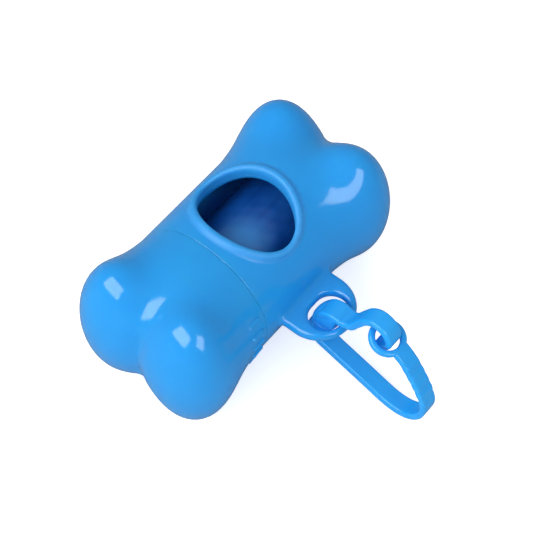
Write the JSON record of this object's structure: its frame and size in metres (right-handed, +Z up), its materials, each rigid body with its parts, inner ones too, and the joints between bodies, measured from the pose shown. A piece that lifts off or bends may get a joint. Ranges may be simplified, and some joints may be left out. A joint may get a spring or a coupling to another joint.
{
  "type": "dog waste bag dispenser",
  "caption": "Bone-shaped dispenser for a roll of waste bags, with a screw-off end cap, an oval mouth and a moulded spring clip looped through a side lug.",
  "frame": {"origin": "on the floor under the middle of the whole part's box, with the bone lying on its four knuckles", "axes": "+Z up out of the mouth, X along the bone with the screw cap at -X, -Y towards the leash clip"},
  "size_m": [0.0786, 0.0786, 0.0393],
  "materials": {
    "shell_plastic": "moulded gloss, sky blue",
    "clip_plastic": "moulded satin, sky blue",
    "seal_rubber": "soft, dark blue",
    "bag_film": "thin crinkled film, dark blue",
    "core_card": "plain grey-brown board"
  },
  "bodies": {
    "body": {"body_shell": "shell_plastic"},
    "seal": {"seal_ring": "seal_rubber"},
    "cap": {"end_cap": "shell_plastic"},
    "roll": {"bag_roll": "bag_film", "roll_core": "core_card"},
    "clip": {"clip_spine": "clip_plastic"},
    "gate": {"clip_gate": "clip_plastic"}
  },
  "joints": [
    {"name": "cap_turn", "type": "hinge", "parent": "body", "child": "seal", "pos_m": [-0.013, 0.01802, 0.01937], "axis": [-1, 0, 0], "range_deg": [0, 361]},
    {"name": "cap_advance", "type": "slide", "parent": "seal", "child": "cap", "axis": [-1, 0, 0], "range_m": [0, 0.01]},
    {"name": "roll_spin", "type": "hinge", "parent": "body", "child": "roll", "pos_m": [0, 0.01802, 0.0171], "axis": [1, 0, 0], "continuous": true},
    {"name": "clip_swing", "type": "hinge", "parent": "body", "child": "clip", "pos_m": [0.0016, -0.01351, 0.01937], "axis": [1, 0, 0], "range_deg": [-90, 7]},
    {"name": "gate_open", "type": "hinge", "parent": "clip", "child": "gate", "pos_m": [0.0016, -0.03783, 0.01267], "axis": [-1, 0, 0], "range_deg": [0, 14], "stiffness_Nm_per_rad": 0.05}
  ],
  "couplings": [
    {"joint": "cap_turn", "follows": "cap_advance", "rad_per_m": 628.32}
  ]
}
